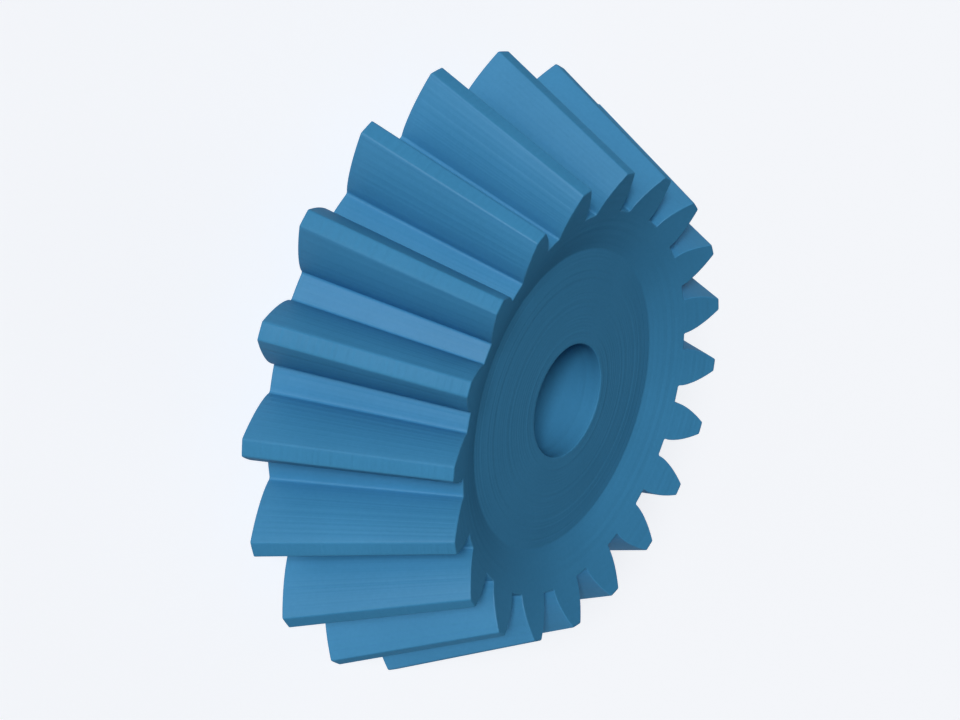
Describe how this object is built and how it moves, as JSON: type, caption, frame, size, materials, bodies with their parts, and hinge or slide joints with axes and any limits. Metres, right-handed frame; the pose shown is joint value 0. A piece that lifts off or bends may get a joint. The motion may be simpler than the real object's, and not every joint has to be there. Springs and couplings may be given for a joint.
{
  "type": "bevel pinion gear",
  "caption": "Straight bevel pinion: tapered involute teeth on a cone, a dished front, a flat back and a plain round bore for its shaft.",
  "frame": {"origin": "centre of the flat back face, on the axis of the bore", "axes": "+Z along the axis, from the heel (the large end of the teeth) to the toe (the small end); +X through the middle of a tooth"},
  "size_m": [0.0448, 0.0448, 0.015],
  "materials": {
    "blue_nylon": "satin, as machined"
  },
  "bodies": {
    "root": {"bevel_pinion": "blue_nylon"}
  },
  "joints": []
}
